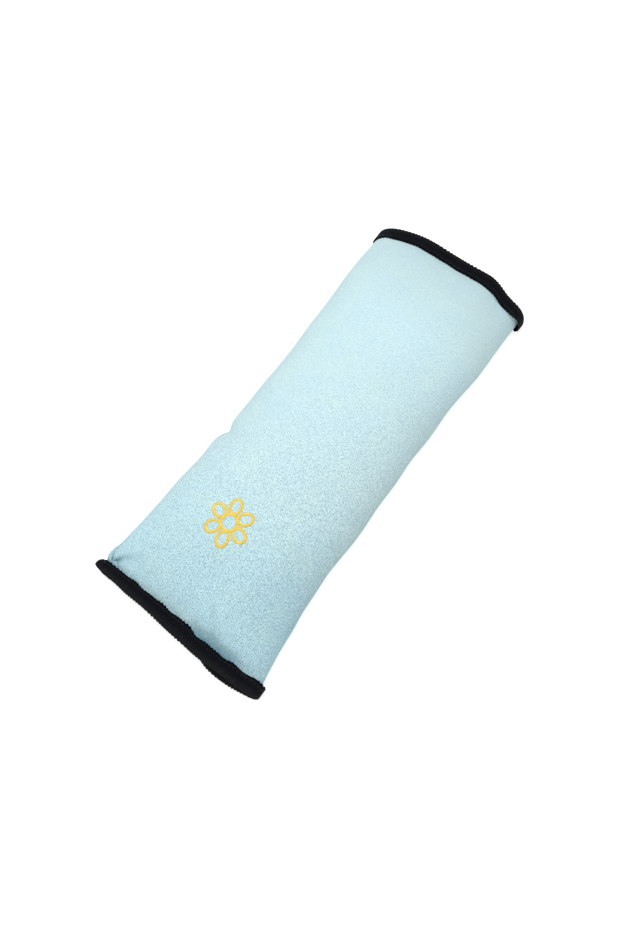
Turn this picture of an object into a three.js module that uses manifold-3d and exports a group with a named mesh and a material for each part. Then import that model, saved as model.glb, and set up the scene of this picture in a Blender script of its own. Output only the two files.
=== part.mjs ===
// A stuffed seat belt shoulder pad: a plush bolster that is sewn flat at both ends, with two belt flaps behind it.
// The flaps start in the side seams, fold under the bolster and close on each other with hook and loop tape,
// so the belt runs lengthwise between the bolster's lining and the flaps. One black tape binds each end: it runs
// along one flap, round the corner, over the bolster's flat end, round the other corner and along the other flap.
// Millimetres. +X runs from the near end to the far end, +Y to the pad's left, +Z up. The pad lies on its flaps,
// and the origin is under the middle of its box, on the surface that it lies on.
import * as THREE from "three";
import { mergeVertices } from "three/addons/utils/BufferGeometryUtils.js";
import Module from "manifold-3d";

const wasm = await Module();
wasm.setup();

// Overall sizes
const LENGTH = 280; // nose of one end binding to the nose of the other
const BODY_WIDTH = 95.5; // across the bolster at its waist
const CROWN = 31; // side seam up to the top of the front panel
const BELLY = 26.5; // side seam down to the lining's lowest line
const BELT_SPACE = 8.2; // lining's lowest line to the flap below it, room for a belt

// Cloth, tape and the clearance between sewn layers
const PLUSH = 2.0;
const LINING = 1.2;
const FLAP_CLOTH = 1.6;
const SEAM_CLOTH = 0.8; // either panel where a seam squeezes it
const LAYER_GAP = 0.3;
const FILL_GAP = 1.0;
const FILL_SHORT = 12; // from where the bolster starts to swell to the filling's end
const TAPE_WALL = 0.8;
const TAPE_ROOM = 0.4; // between a tape's walls and the cloth that it holds
const TAPE_WIDTH = 7.5;
const CLOSURE_TAPE = 1.2; // thickness of the hook tape and of the loop tape
const CLOSURE_WIDTH = 20;
const CLOSURE_MARGIN = 14; // from an end binding's inner edge to the closure tapes
const FLAP_OVERLAP = 24;
const FLAP_STEP = 12; // width over which the inner flap comes down to the table, beside the outer one
const FLAP_DROP = 0.6; // from the side seam's line to a flap's cut edge
const SETTLE_LENGTH = 20; // from a binding to where a flap lies flat
const BACK_FLAT = 26; // half width of the flat stretch under the bolster
const TAPE_CORNER = 5; // how far a flap's end curls before its corner

// The two ends, where the bolster is pressed flat. side is how far an end lies to the left of the pad's middle,
// arch how far its middle stands above its corners, setBack how far the corners stay behind the middle, and skew
// its slant across the pad. swell and spread are the lengths over which the height and the width change to those
// of the waist. flapBack is how far the flaps' ends draw back under the bolster's, away from the corners, and
// bulge how far the outer flap's end first comes forward.
const NEAR_END = {
  halfWidth: 57.5,
  side: 4.5,
  arch: 13,
  setBack: 0.9,
  skew: 0.044,
  swell: 78,
  spread: 130,
  spreadPower: 2,
  flapBack: 4,
  bulge: 3,
};
const FAR_END = {
  halfWidth: 48.5,
  side: 6,
  arch: 26.5,
  setBack: 2.9,
  skew: -0.065,
  swell: 62,
  spread: 72,
  spreadPower: 1.7,
  flapBack: 1,
  bulge: 0,
};
// Distances in from a flap's corner: the inner flap draws back over the first, the outer flap bulges over the
// second and draws back over the third, which starts at the fourth.
const INNER_BACK_RUN = 25;
const BULGE_RUN = 42;
const OUTER_BACK_RUN = 18;
const OUTER_BACK_START = 28;

// Shape of the cross-sections: 2 is an ellipse, and more is boxier
const FRONT_ROUNDNESS = 2.3;
const BACK_ROUNDNESS = 2.6;
const END_ROUNDNESS = 2.8;
const SWELL_POWER = 2.2;
const SEAM_POWER = 1.8;

// Embroidered flower on the front panel: a ring with a loop for each petal
const FLOWER = { x: -79, y: 8.5, petals: 6, petalLength: 10.5, petalWidth: 8.4, reach: 14.5, ring: 4.6, thread: 2.0 };
const STITCH_HEIGHT = 0.8;
const STITCH_GAP = 0.5; // straight up, from the panel's facets

// Fineness
const STATIONS = 24;
const FRONT_COLUMNS = 25;
const BACK_COLUMNS = 25;
const FLAP_COLUMNS = 16;
const TAPE_STEPS = 70;
const TURN_LENGTH = 12; // extra length that a turn of one radian counts as where points are spread

// Sizes that follow
const SEAM_LAYERS = 2 * SEAM_CLOTH + LAYER_GAP;
const TAPE_SLOT = SEAM_LAYERS + 2 * TAPE_ROOM;
const TAPE_THICKNESS = TAPE_SLOT + 2 * TAPE_WALL;
const TAPE_FLOOR = TAPE_THICKNESS / 2; // middle of the outer flap's tape above the table
const TAPE_UPPER = TAPE_FLOOR + TAPE_THICKNESS + LAYER_GAP; // middle of the inner flap's tape, over it
const CORNER_RISE = TAPE_FLOOR + TAPE_CORNER * 0.87; // height of the tape's outermost point
const CLOSURE_STACK = 2 * CLOSURE_TAPE + 3 * LAYER_GAP; // both tapes and the gaps round them
const INNER_FLAP_UNDER = FLAP_CLOTH + CLOSURE_STACK; // underside of the inner flap where it laps the outer one
const LINING_LOW = INNER_FLAP_UNDER + FLAP_CLOTH + BELT_SPACE;
const SEAM_HEIGHT = LINING_LOW + BELLY;
const SLOT_END = TAPE_WALL + 0.5; // from a binding's nose to the bottom of its fold
const CLOTH_END = SLOT_END + 3 * LAYER_GAP; // from a binding's nose to the cloth's edge inside it
const HELD_FLAT = TAPE_WIDTH + 0.5; // from a binding's nose to where the bolster starts to swell

const clamp01 = (value) => Math.min(1, Math.max(0, value));
const ease = (value) => clamp01(value) ** 2 * (3 - 2 * clamp01(value));
const mix = (a, b, share) => a + (b - a) * share;

// Spreads a polyline's points evenly along it. A turn counts as extra length, so bends get more of the points.
function evenly(points, count, turnLength = 0) {
  const reached = [0];
  for (let i = 1; i < points.length; i++) {
    const step = points[i].clone().sub(points[i - 1]);
    const next = i + 1 < points.length ? points[i + 1].clone().sub(points[i]) : step;
    const turn = step.length() && next.length() ? Math.abs(Math.atan2(step.cross(next), step.dot(next))) : 0;
    reached.push(reached[i - 1] + step.length() + turnLength * turn);
  }
  const spread = [];
  let k = 1;
  for (let i = 0; i < count; i++) {
    const wanted = (reached.at(-1) * i) / (count - 1);
    while (k < points.length - 1 && reached[k] < wanted) k++;
    const share = (wanted - reached[k - 1]) / (reached[k] - reached[k - 1] || 1);
    spread.push(points[k - 1].clone().lerp(points[k], clamp01(share)));
  }
  return spread;
}

// Half of a superellipse about (0, base) in the cross-section, from the pad's left to its right.
function halfOval(halfWidth, rise, base, roundness, count) {
  const points = [];
  const steps = 240;
  for (let i = 0; i <= steps; i++) {
    const angle = (Math.PI * i) / steps;
    const across = Math.sign(Math.cos(angle)) * Math.abs(Math.cos(angle)) ** (2 / roundness);
    const up = Math.abs(Math.sin(angle)) ** (2 / roundness);
    points.push(new THREE.Vector2(halfWidth * across, base + rise * up));
  }
  return evenly(points, count, TURN_LENGTH);
}

// The bolster's flat end in cross-section: an arch from corner to corner, grown by the given amount.
function endArch(end, count, grow = 0) {
  const base = CORNER_RISE + LAYER_GAP / 2;
  const arch = halfOval(end.halfWidth + grow, end.arch + grow, base, END_ROUNDNESS, count);
  return arch.map((point) => new THREE.Vector2(point.x + end.side, point.y));
}

// How far a place has risen from a flat end (0) to the waist (1). The bolster's faces swell out at once, and the
// side seams between them climb more gently.
function fromEnds(x, profile) {
  const left = (distance, length) => 1 - clamp01((distance - HELD_FLAT) / length);
  return profile(left(LENGTH / 2 + x, NEAR_END.swell)) * profile(left(LENGTH / 2 - x, FAR_END.swell));
}

const swell = (x) => fromEnds(x, (left) => Math.sqrt(Math.max(0, 1 - left ** SWELL_POWER)));
const climb = (x) => fromEnds(x, (left) => 1 - left ** SEAM_POWER);

// How far the width has gone from an end's (0) to the waist's (1).
function narrowing(x) {
  const near = 1 - clamp01((LENGTH / 2 + x - HELD_FLAT) / NEAR_END.spread);
  const far = 1 - clamp01((LENGTH / 2 - x - HELD_FLAT) / FAR_END.spread);
  return (1 - near ** NEAR_END.spreadPower) * (1 - far ** FAR_END.spreadPower);
}

const farShare = (x) => ease((x + LENGTH / 2) / LENGTH);

// The ends aren't straight in plan, so each place is shifted along the pad by this much.
function planShift(x, y) {
  const setBack = (end) => end.setBack * Math.abs((y - end.side) / end.halfWidth) ** 3;
  return mix(NEAR_END.skew * y + setBack(NEAR_END), FAR_END.skew * y - setBack(FAR_END), farShare(x));
}

// How far a flap's place is shifted along the pad from where the bolster's would be. side is 1 for the inner flap,
// on the pad's left, and -1 for the outer one. inward is the distance in from the flap's corner.
function flapShift(side, x, inward) {
  const between = (name) => mix(NEAR_END[name], -FAR_END[name], farShare(x));
  if (side > 0) return between("flapBack") * ease(inward / INNER_BACK_RUN);
  const bulge = Math.sin(Math.PI * clamp01(inward / BULGE_RUN));
  return between("flapBack") * ease((inward - OUTER_BACK_START) / OUTER_BACK_RUN) - between("bulge") * bulge;
}

// Where a flat end's corner, and the side seam, are across the pad. side is 1 on the left and -1 on the right.
const cornerAcross = (end, side) => end.halfWidth + side * end.side;
const seamAcross = (side, x, waist) =>
  mix(mix(cornerAcross(NEAR_END, side), cornerAcross(FAR_END, side), farShare(x)), waist, narrowing(x));

const seamHeight = (x) => mix(CORNER_RISE, SEAM_HEIGHT, climb(x));

// A row of points at one station, mixed from the curve at the flat ends and the curve at the waist. Heights are
// mixed above the side seam's, and risen says how far they have come to the waist's.
function stationRow(x, nearCurve, farCurve, waistCurve, risen) {
  const narrow = narrowing(x);
  const far = farShare(x);
  return waistCurve.map((waist, i) => {
    const endY = mix(nearCurve[i].x, farCurve[i].x, far);
    const endZ = mix(nearCurve[i].y, farCurve[i].y, far);
    const y = mix(endY, waist.x, narrow);
    const z = seamHeight(x) + mix(endZ - CORNER_RISE, waist.y - SEAM_HEIGHT, risen(x));
    return new THREE.Vector3(x + planShift(x, y), y, z);
  });
}

// Stations along the pad, closer together towards both ends, with one at each cloth edge.
function stationsBetween(first, last, count) {
  const inner = Array.from({ length: count - 2 }, (_, i) => {
    const share = (1 - Math.cos((Math.PI * i) / (count - 3))) / 2;
    const from = Math.max(first, -LENGTH / 2 + HELD_FLAT);
    const to = Math.min(last, LENGTH / 2 - HELD_FLAT);
    return mix(from, to, share);
  });
  const all = [first, ...inner, last];
  return all.filter((x, i) => i === 0 || x - all[i - 1] > 0.01);
}

const clothStations = (count = STATIONS) =>
  stationsBetween(-LENGTH / 2 + CLOTH_END, LENGTH / 2 - CLOTH_END, count);

// Unit normals of a grid of points, which point up where the grid runs along +X and from left to right.
function gridNormals(grid) {
  return grid.map((row, i) =>
    row.map((_, j) => {
      const before = grid[Math.max(0, i - 1)][j];
      const after = grid[Math.min(grid.length - 1, i + 1)][j];
      const left = row[Math.max(0, j - 1)];
      const right = row[Math.min(row.length - 1, j + 1)];
      const along = after.clone().sub(before);
      const across = right.clone().sub(left);
      return across.cross(along).normalize();
    }),
  );
}

// Every point of a grid moved along its normal. distance may be a number or a function of (row, column).
function offsetGrid(grid, distance) {
  const normals = gridNormals(grid);
  const by = typeof distance === "function" ? distance : () => distance;
  return grid.map((row, i) => row.map((point, j) => point.clone().addScaledVector(normals[i][j], by(i, j))));
}

// A closed solid between an upper and a lower grid of points of the same size.
function solidBetween(upper, lower) {
  const rows = upper.length;
  const columns = upper[0].length;
  const positions = [];
  for (const grid of [upper, lower]) {
    for (const row of grid) {
      for (const point of row) positions.push(point.x, point.y, point.z);
    }
  }
  const top = (i, j) => i * columns + j;
  const bottom = (i, j) => rows * columns + top(i, j);
  const faces = [];
  const quad = (a, b, c, d) => faces.push(a, b, c, a, c, d);
  for (let i = 0; i + 1 < rows; i++) {
    for (let j = 0; j + 1 < columns; j++) {
      quad(top(i, j), top(i, j + 1), top(i + 1, j + 1), top(i + 1, j));
      quad(bottom(i, j), bottom(i + 1, j), bottom(i + 1, j + 1), bottom(i, j + 1));
    }
    quad(top(i, 0), top(i + 1, 0), bottom(i + 1, 0), bottom(i, 0));
    quad(top(i, columns - 1), bottom(i, columns - 1), bottom(i + 1, columns - 1), top(i + 1, columns - 1));
  }
  for (let j = 0; j + 1 < columns; j++) {
    quad(top(0, j), bottom(0, j), bottom(0, j + 1), top(0, j + 1));
    quad(top(rows - 1, j), top(rows - 1, j + 1), bottom(rows - 1, j + 1), bottom(rows - 1, j));
  }
  const geometry = new THREE.BufferGeometry();
  geometry.setAttribute("position", new THREE.Float32BufferAttribute(positions, 3));
  geometry.setIndex(faces);
  geometry.computeVertexNormals();
  return geometry;
}

// Outer faces of the bolster: the plush front panel, and the lining behind it.
function frontFace(stations, columns) {
  const base = SEAM_HEIGHT + LAYER_GAP / 2;
  const waist = halfOval(BODY_WIDTH / 2, CROWN, base, FRONT_ROUNDNESS, columns);
  const [near, far] = [NEAR_END, FAR_END].map((end) => endArch(end, columns, SEAM_LAYERS / 2));
  return stations.map((x) => stationRow(x, near, far, waist, swell));
}

function backFace(stations, columns) {
  const base = SEAM_HEIGHT + LAYER_GAP / 2;
  const halfWidth = BODY_WIDTH / 2 - PLUSH - LAYER_GAP;
  const waist = halfOval(halfWidth, -BELLY - LAYER_GAP / 2, base, BACK_ROUNDNESS, columns);
  const [near, far] = [NEAR_END, FAR_END].map((end) => endArch(end, columns, -SEAM_LAYERS / 2));
  return stations.map((x) => stationRow(x, near, far, waist, climb));
}

// How far a point is from a grid's surface, near the grid's row i.
function distanceToGrid(point, grid, i) {
  const closest = new THREE.Vector3();
  let least = Infinity;
  for (let k = Math.max(0, i - 2); k < Math.min(grid.length - 1, i + 2); k++) {
    for (let j = 0; j + 1 < grid[k].length; j++) {
      const [a, b, c, d] = [grid[k][j], grid[k][j + 1], grid[k + 1][j + 1], grid[k + 1][j]];
      for (const triangle of [new THREE.Triangle(a, b, c), new THREE.Triangle(a, c, d)]) {
        triangle.closestPointToPoint(point, closest);
        least = Math.min(least, closest.distanceTo(point));
      }
    }
  }
  return least;
}

// Cloth is thinner where a seam squeezes the two panels together: neither takes half of the room there.
function panelThickness(own, other, full) {
  return (i, j) => Math.min(full, Math.max(0.3, 0.44 * (distanceToGrid(own[i][j], other, i) - LAYER_GAP)));
}

function frontPanel() {
  const stations = clothStations();
  const outer = frontFace(stations, FRONT_COLUMNS);
  const lining = backFace(stations, BACK_COLUMNS);
  const thickness = panelThickness(outer, lining, PLUSH);
  return solidBetween(outer, offsetGrid(outer, (i, j) => -thickness(i, j)));
}

function backPanel() {
  const stations = clothStations();
  const outer = backFace(stations, BACK_COLUMNS);
  const plush = frontFace(stations, FRONT_COLUMNS);
  const thickness = panelThickness(outer, plush, LINING);
  return solidBetween(offsetGrid(outer, thickness), outer);
}

// The fibre filling stays clear of both panels and stops short of the seams.
function fibreFilling() {
  const reach = LENGTH / 2 - HELD_FLAT - FILL_SHORT;
  const stations = stationsBetween(-reach, reach, 18);
  const columns = 19;
  const inner = (grid) => grid.map((row) => row.slice(2, columns - 2));
  const upper = offsetGrid(frontFace(stations, columns), -(PLUSH + FILL_GAP));
  const lower = offsetGrid(backFace(stations, columns), LINING + FILL_GAP);
  return solidBetween(inner(upper), inner(lower));
}

// A flap's line in cross-section, from its side seam under the bolster to its free edge, for the pad's right side.
// floor is the height of the cloth's middle on the table. A lapping flap steps up to the height lap first.
function flapLine(seamY, seamZ, curl, floor, lap, count) {
  const points = [];
  const steps = 40;
  const flat = seamY - curl;
  for (let i = 0; i <= steps; i++) {
    const angle = (Math.PI / 2) * (i / steps);
    points.push(new THREE.Vector2(flat + curl * Math.cos(angle), seamZ - (seamZ - floor) * Math.sin(angle)));
  }
  if (lap > floor) {
    const low = FLAP_OVERLAP / 2 + FLAP_STEP + LAYER_GAP;
    for (let i = 0; i <= steps; i++) {
      const share = i / steps;
      points.push(new THREE.Vector2(low - FLAP_STEP * share, mix(floor, lap, ease(share))));
    }
  }
  points.push(new THREE.Vector2(-FLAP_OVERLAP / 2, Math.max(floor, lap)));
  return evenly(points, count, TURN_LENGTH);
}

function endFlapLine(end, side, count) {
  const lap = side > 0 ? TAPE_UPPER : 0;
  return flapLine(cornerAcross(end, side), CORNER_RISE - FLAP_DROP, TAPE_CORNER, TAPE_FLOOR, lap, count);
}

// A flap leaves its binding at half the tape's height and settles on the table a little way in.
function settled(x) {
  return Math.min(...[LENGTH / 2 + x, LENGTH / 2 - x].map((d) => ease((d - HELD_FLAT) / SETTLE_LENGTH)));
}

const floorHeight = (x) => mix(TAPE_FLOOR, FLAP_CLOTH / 2, settled(x));
const lapHeight = (x) => mix(TAPE_UPPER, INNER_FLAP_UNDER + FLAP_CLOTH / 2, settled(x));

// Middle surface of a flap. Its rows run from left to right on both sides of the pad. side is 1 on the pad's left,
// whose flap laps over the other one.
function flapMiddle(side, stations) {
  const waistY = (BODY_WIDTH - FLAP_CLOTH) / 2;
  return stations.map((x) => {
    const seamY = seamAcross(side, x, waistY);
    const curl = mix(TAPE_CORNER, waistY - BACK_FLAT, climb(x));
    const lap = side > 0 ? lapHeight(x) : 0;
    const line = flapLine(seamY, seamHeight(x) - FLAP_DROP, curl, floorHeight(x), lap, FLAP_COLUMNS);
    const row = line.map((point) => {
      const y = side * point.x;
      const shift = planShift(x, y) + flapShift(side, x, seamY - point.x);
      return new THREE.Vector3(x + shift, y, point.y);
    });
    return side > 0 ? row : row.reverse();
  });
}

function beltFlap(side) {
  const middle = flapMiddle(side, clothStations());
  return solidBetween(offsetGrid(middle, FLAP_CLOTH / 2), offsetGrid(middle, -FLAP_CLOTH / 2));
}

// Hook tape on the outer flap, or loop tape under the inner one, following its flap's lie along the pad.
function closureTape(side) {
  const reach = LENGTH / 2 - TAPE_WIDTH - CLOSURE_MARGIN;
  const stations = [-reach, ...clothStations().filter((x) => Math.abs(x) < reach - 1), reach];
  const level = (x) => {
    const outerTop = floorHeight(x) + FLAP_CLOTH / 2;
    const innerUnder = lapHeight(x) - FLAP_CLOTH / 2;
    return side > 0 ? innerUnder - LAYER_GAP - CLOSURE_TAPE : outerTop + LAYER_GAP;
  };
  const grid = (lift) =>
    stations.map((x) =>
      [CLOSURE_WIDTH / 2, -CLOSURE_WIDTH / 2].map((y) => {
        const shift = planShift(x, y) + flapShift(side, x, seamAcross(side, x, BODY_WIDTH / 2) - side * y);
        return new THREE.Vector3(x + shift, y, level(x) + lift);
      }),
    );
  return solidBetween(grid(CLOSURE_TAPE), grid(0));
}

// Cross-section of the folded tape: a U, open towards the pad. x is the depth from its nose, y across it.
function tapeSection() {
  const half = TAPE_THICKNESS / 2;
  const slot = TAPE_SLOT / 2;
  const noseSteps = 6;
  const section = [new THREE.Vector2(TAPE_WIDTH, half)];
  for (let i = 0; i <= noseSteps; i++) {
    const angle = (Math.PI * i) / noseSteps;
    section.push(new THREE.Vector2(half * (1 - Math.sin(angle)), half * Math.cos(angle)));
  }
  section.push(new THREE.Vector2(TAPE_WIDTH, -half));
  section.push(new THREE.Vector2(TAPE_WIDTH, -slot));
  section.push(new THREE.Vector2(SLOT_END, -slot));
  section.push(new THREE.Vector2(SLOT_END, slot));
  section.push(new THREE.Vector2(TAPE_WIDTH, slot));
  return section;
}

// One end's tape, swept along the whole edge: inner flap, bolster, outer flap. end is 1 at the far end.
function endBinding(end) {
  const shape = end > 0 ? FAR_END : NEAR_END;
  const count = 160;
  const left = endFlapLine(shape, 1, count).reverse();
  const right = endFlapLine(shape, -1, count).map((point) => new THREE.Vector2(-point.x, point.y));
  const path = evenly([...left, ...endArch(shape, count), ...right], TAPE_STEPS, TURN_LENGTH);
  const [leftCorner, rightCorner] = [1, -1].map((side) => cornerAcross(shape, side));
  const across = path.map((point) => point.x);
  const leftmost = across.indexOf(Math.max(...across));
  const rightmost = across.indexOf(Math.min(...across));
  const section = tapeSection();
  const rings = path.map((point, i) => {
    const before = path[Math.max(0, i - 1)];
    const after = path[Math.min(path.length - 1, i + 1)];
    const along = after.clone().sub(before).normalize();
    return section.map((spot) => {
      const y = point.x + along.y * spot.y;
      const z = point.y - along.x * spot.y;
      const x = end * (LENGTH / 2 - spot.x);
      let shift = planShift(x, point.x);
      if (i < leftmost) shift += flapShift(1, x, leftCorner - point.x);
      if (i > rightmost) shift += flapShift(-1, x, rightCorner + point.x);
      return new THREE.Vector3(x + shift, y, z);
    });
  });
  return sweptSolid(rings, end > 0);
}

// A closed solid through rings of points, each ring one cross-section, with flat ends.
function sweptSolid(rings, turned) {
  const size = rings[0].length;
  const positions = rings.flat().flatMap((point) => [point.x, point.y, point.z]);
  const faces = [];
  for (let i = 0; i + 1 < rings.length; i++) {
    for (let j = 0; j < size; j++) {
      const next = (j + 1) % size;
      const [a, b, c, d] = [i * size + j, i * size + next, (i + 1) * size + next, (i + 1) * size + j];
      faces.push(a, b, c, a, c, d);
    }
  }
  const cap = THREE.ShapeUtils.triangulateShape(tapeSection(), []);
  const lastRing = (rings.length - 1) * size;
  for (const [a, b, c] of cap) {
    faces.push(a, c, b);
    faces.push(lastRing + a, lastRing + b, lastRing + c);
  }
  if (turned) {
    for (let k = 0; k < faces.length; k += 3) [faces[k + 1], faces[k + 2]] = [faces[k + 2], faces[k + 1]];
  }
  const geometry = new THREE.BufferGeometry();
  geometry.setAttribute("position", new THREE.Float32BufferAttribute(positions, 3));
  geometry.setIndex(faces);
  geometry.computeVertexNormals();
  return geometry;
}

function toManifold(geometry) {
  const bare = geometry.clone();
  bare.deleteAttribute("normal");
  bare.deleteAttribute("uv");
  const merged = mergeVertices(bare, 1e-4);
  return new wasm.Manifold(
    new wasm.Mesh({
      numProp: 3,
      vertProperties: new Float32Array(merged.attributes.position.array),
      triVerts: new Uint32Array(merged.index.array),
    }),
  );
}

function fromManifold(solid) {
  const mesh = solid.getMesh();
  const geometry = new THREE.BufferGeometry();
  geometry.setAttribute("position", new THREE.BufferAttribute(new Float32Array(mesh.vertProperties), 3));
  geometry.setIndex(new THREE.BufferAttribute(new Uint32Array(mesh.triVerts), 1));
  geometry.computeVertexNormals();
  return geometry;
}

// A raised line of satin stitch round an oval.
function stitchedOval(centre, alongRadius, acrossRadius, angle, segments) {
  const half = FLOWER.thread / 2;
  const oval = (grow, clockwise) =>
    new THREE.EllipseCurve(
      centre.x,
      centre.y,
      alongRadius + grow,
      acrossRadius + grow,
      0,
      2 * Math.PI,
      clockwise,
      angle,
    ).getPoints(segments).slice(0, -1);
  const shape = new THREE.Shape(oval(half, false));
  shape.holes.push(new THREE.Path(oval(-half, true)));
  return new THREE.ExtrudeGeometry(shape, { depth: STITCH_HEIGHT, bevelEnabled: false, curveSegments: segments });
}

// The flower is drawn flat and then laid over the crown of the front panel.
function flower(frontMesh) {
  let flat = toManifold(stitchedOval(new THREE.Vector2(), FLOWER.ring, FLOWER.ring, 0, 20));
  for (let i = 0; i < FLOWER.petals; i++) {
    const angle = (2 * Math.PI * (i + 0.25)) / FLOWER.petals;
    const out = FLOWER.reach - FLOWER.petalLength / 2;
    const centre = new THREE.Vector2(Math.cos(angle), Math.sin(angle)).multiplyScalar(out);
    const half = FLOWER.thread / 2;
    const petal = stitchedOval(centre, FLOWER.petalLength / 2 - half, FLOWER.petalWidth / 2 - half, angle, 18);
    flat = flat.add(toManifold(petal));
  }
  const geometry = fromManifold(flat);
  const ray = new THREE.Raycaster();
  const down = new THREE.Vector3(0, 0, -1);
  const place = geometry.attributes.position;
  for (let i = 0; i < place.count; i++) {
    const x = FLOWER.x + place.getX(i);
    const y = FLOWER.y + place.getY(i);
    ray.set(new THREE.Vector3(x, y, 3 * SEAM_HEIGHT), down);
    const ground = ray.intersectObject(frontMesh)[0].point.z;
    place.setXYZ(i, x, y, ground + STITCH_GAP + place.getZ(i));
  }
  return geometry;
}

const cloth = (name, color, roughness) => new THREE.MeshStandardMaterial({ name, color, roughness, metalness: 0 });
const plush = cloth("plush", 0xbfe3ea, 0.95);
const lining = cloth("lining", 0xc9e2e8, 0.9);
const wadding = cloth("wadding", 0xf4f4f0, 1.0);
const blackTape = cloth("binding", 0x17181b, 0.85);
const hookTape = cloth("hook_tape", 0x1d1e21, 0.6);
const loopTape = cloth("loop_tape", 0x232428, 1.0);
const yellowThread = cloth("embroidery_thread", 0xeec24f, 0.55);

const pad = new THREE.Group();

function addPiece(name, geometry, material) {
  const mesh = new THREE.Mesh(geometry, material);
  mesh.name = name;
  pad.add(mesh);
  return mesh;
}

const front = addPiece("front_panel", frontPanel(), plush);
addPiece("back_lining", backPanel(), lining);
addPiece("fibre_filling", fibreFilling(), wadding);
addPiece("outer_belt_flap", beltFlap(-1), plush);
addPiece("inner_belt_flap", beltFlap(1), plush);
addPiece("hook_tape", closureTape(-1), hookTape);
addPiece("loop_tape", closureTape(1), loopTape);
addPiece("near_end_binding", endBinding(-1), blackTape);
addPiece("far_end_binding", endBinding(1), blackTape);
addPiece("embroidered_flower", flower(front), yellowThread);

// The ends slant a little, so the pad is moved to bring the middle of its box over the origin.
const box = new THREE.Box3().setFromObject(pad);
const middle = box.getCenter(new THREE.Vector3());
for (const mesh of pad.children) mesh.geometry.translate(-middle.x, -middle.y, -box.min.z);

export default pad;
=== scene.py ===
"""A stuffed seat belt shoulder pad lying on its belt flaps, on a pale floor in soft studio light.

Every soft piece is worked out from the same few curves: the arch of a flat sewn end, the full section of the
waist, and the laws by which one turns into the other along the pad. Lengths in the formulas are millimetres.
"""
import math

import bpy
import numpy as np
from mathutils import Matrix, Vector


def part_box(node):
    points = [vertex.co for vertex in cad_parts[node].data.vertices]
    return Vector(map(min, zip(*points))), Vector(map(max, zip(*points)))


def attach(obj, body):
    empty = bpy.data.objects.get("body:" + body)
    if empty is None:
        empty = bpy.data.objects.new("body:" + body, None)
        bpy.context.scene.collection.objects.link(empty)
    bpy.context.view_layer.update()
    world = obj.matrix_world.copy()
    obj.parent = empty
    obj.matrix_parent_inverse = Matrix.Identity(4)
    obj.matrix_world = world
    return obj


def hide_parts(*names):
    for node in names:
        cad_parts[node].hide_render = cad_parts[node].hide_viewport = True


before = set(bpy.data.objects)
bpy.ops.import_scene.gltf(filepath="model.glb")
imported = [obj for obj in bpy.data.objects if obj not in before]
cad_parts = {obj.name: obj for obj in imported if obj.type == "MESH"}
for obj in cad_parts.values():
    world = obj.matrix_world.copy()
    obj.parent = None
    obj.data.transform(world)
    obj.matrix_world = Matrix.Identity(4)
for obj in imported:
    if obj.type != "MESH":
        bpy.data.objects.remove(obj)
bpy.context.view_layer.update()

MM = 0.001

# The pad's own sizes, the same as its solids have
LENGTH = 280.0
BODY_WIDTH = 95.5
CROWN = 31.0
BELLY = 26.5
SEAM_HEIGHT = 41.2
PLUSH = 2.0
FLAP_CLOTH = 1.6
SEAM_LAYERS = 1.9
LAYER_GAP = 0.3
TAPE_WIDTH = 7.5
TAPE_THICKNESS = 4.3
TAPE_CORNER = 5.0
TAPE_FLOOR = 2.15
TAPE_UPPER = 6.75
CORNER_RISE = 6.5
FLAP_OVERLAP = 24.0
FLAP_STEP = 12.0
FLAP_DROP = 0.6
FLAP_LAP = 5.7
BACK_FLAT = 26.0
HELD_FLAT = 8.0
CLOTH_END = 2.2
CLOSURE_WIDTH = 20.0
CLOSURE_REACH = 118.5
END_ROUNDNESS, FRONT_ROUNDNESS, BACK_ROUNDNESS = 2.8, 2.3, 2.6

# Each end: half its width, how far its middle lies to the left, its arch's rise, its corners' set-back, its
# slant, the lengths over which the front swells and the width changes, the power of that change, how far the
# flaps lie back and the right one bulges, the tape's width, and its reach past the cloth at both corners
NEAR = dict(half=57.5, side=4.5, arch=13.0, back=0.9, skew=0.044, swell=78.0, spread=130.0, power=2.0,
            flap_back=4.0, bulge=3.0, tape=TAPE_WIDTH, reach=(3.2, 1.8))
FAR = dict(half=48.5, side=6.0, arch=26.5, back=2.9, skew=-0.065, swell=62.0, spread=72.0, power=1.7,
           flap_back=1.0, bulge=0.0, tape=TAPE_WIDTH + 1.0, reach=(0.6, 1.6))


# Curves

def ease(t):
    """A smooth step: 3 t squared less 2 t cubed, with t held between 0 and 1."""
    t = np.clip(t, 0.0, 1.0)
    return t * t * (3 - 2 * t)


def mix(a, b, t):
    """The value that lies the share t of the way from a to b."""
    return a + (b - a) * t


def bell(t, width):
    """A bump of height 1 at t = 0: e to the minus of half of (t over width) squared."""
    return np.exp(-0.5 * (t / width) ** 2)


def unit(vectors):
    """Vectors brought to a length of 1."""
    return vectors / np.maximum(np.linalg.norm(vectors, axis=-1, keepdims=True), 1e-9)


def run_along(line):
    """The way run along a line of points, 0 at its first."""
    return np.concatenate([[0.0], np.cumsum(np.linalg.norm(np.diff(line, axis=0), axis=1))])


def evenly(curve, count, turn=12.0):
    """Points spread along a curve by its length plus turn times the angle it has turned through."""
    step = np.diff(curve, axis=0)
    length = np.hypot(step[:, 0], step[:, 1])
    angle = np.unwrap(np.arctan2(step[:, 1], step[:, 0]))
    bend = np.concatenate([[0.0], np.abs(np.diff(angle))])
    reached = np.concatenate([[0.0], np.cumsum(length + turn * bend)])
    wanted = np.linspace(0.0, reached[-1], count)
    return np.stack([np.interp(wanted, reached, curve[:, k]) for k in (0, 1)], axis=1)


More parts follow.
